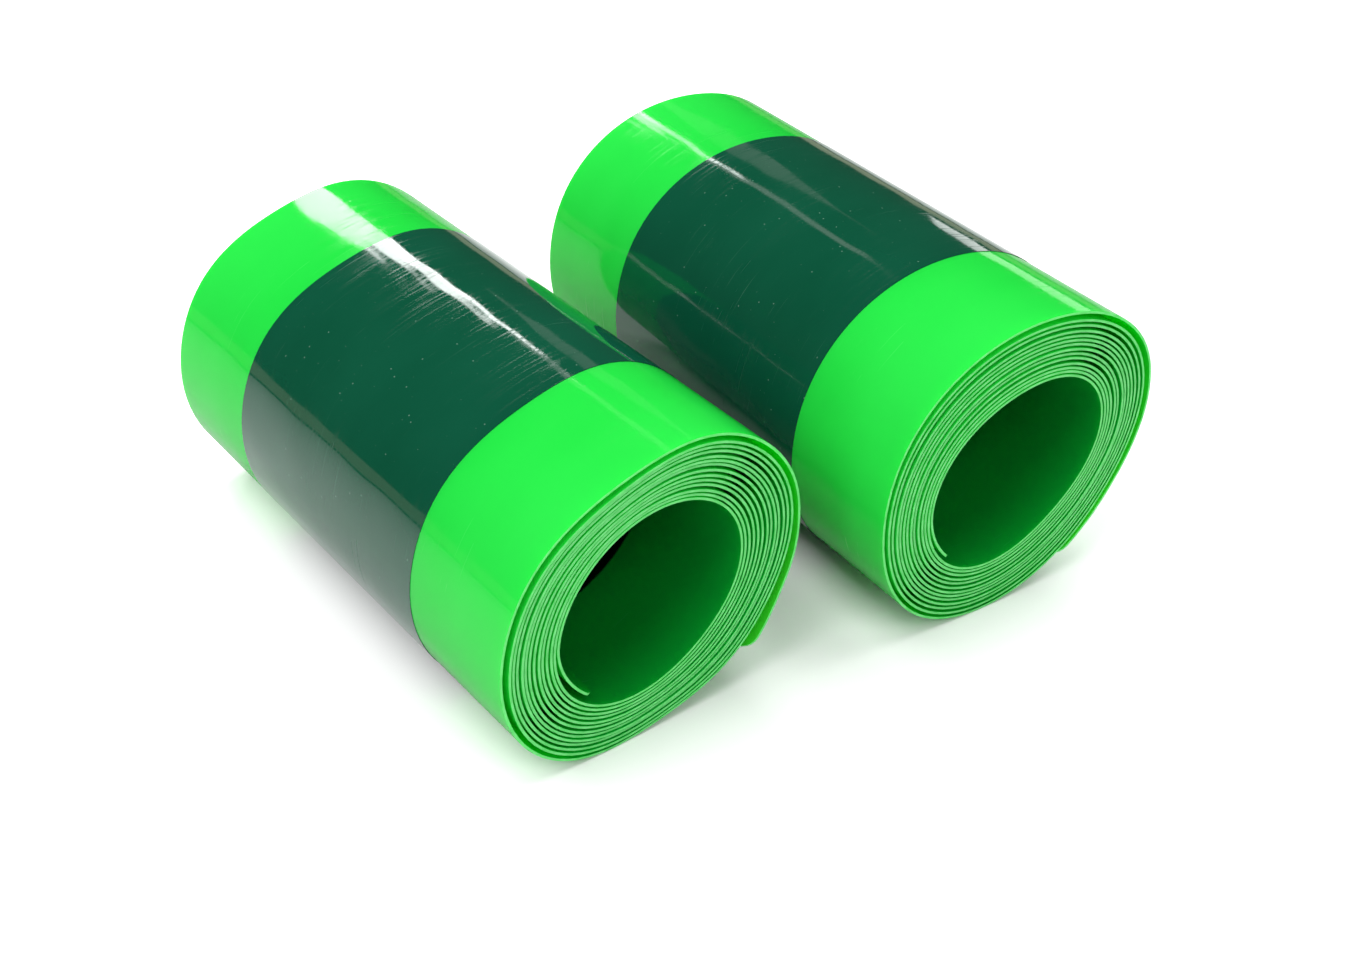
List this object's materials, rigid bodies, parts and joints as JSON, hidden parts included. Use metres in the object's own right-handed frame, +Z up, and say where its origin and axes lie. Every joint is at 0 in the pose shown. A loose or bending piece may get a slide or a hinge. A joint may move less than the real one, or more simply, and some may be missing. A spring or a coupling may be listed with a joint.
{
  "type": "rolled plastic liner strip",
  "caption": "Loose rolls of glossy translucent plastic strip with a darker belt along the middle, wound without a core and lying side by side; likely puncture liners for wide tyres",
  "frame": {"origin": "Middle of the pair's footprint, on the surface that the rolls lie on", "axes": "+X runs across the pair from the left roll to the right one, +Y roughly along the rolls from their near ends to their far ends, +Z up"},
  "size_m": [0.1448, 0.121, 0.0608],
  "materials": {
    "bright_green_plastic": "glossy, slightly translucent",
    "dark_green_plastic": "glossy, nearly opaque"
  },
  "bodies": {
    "left_roll": {"left_roll_strip": "bright_green_plastic", "left_roll_belt": "dark_green_plastic"},
    "right_roll": {"right_roll_strip": "bright_green_plastic", "right_roll_belt": "dark_green_plastic"}
  },
  "joints": [
    {"name": "right_roll_lift", "type": "slide", "parent": "left_roll", "child": "right_roll", "axis": [0, 0, 1], "range_m": [0, 0.1]}
  ]
}
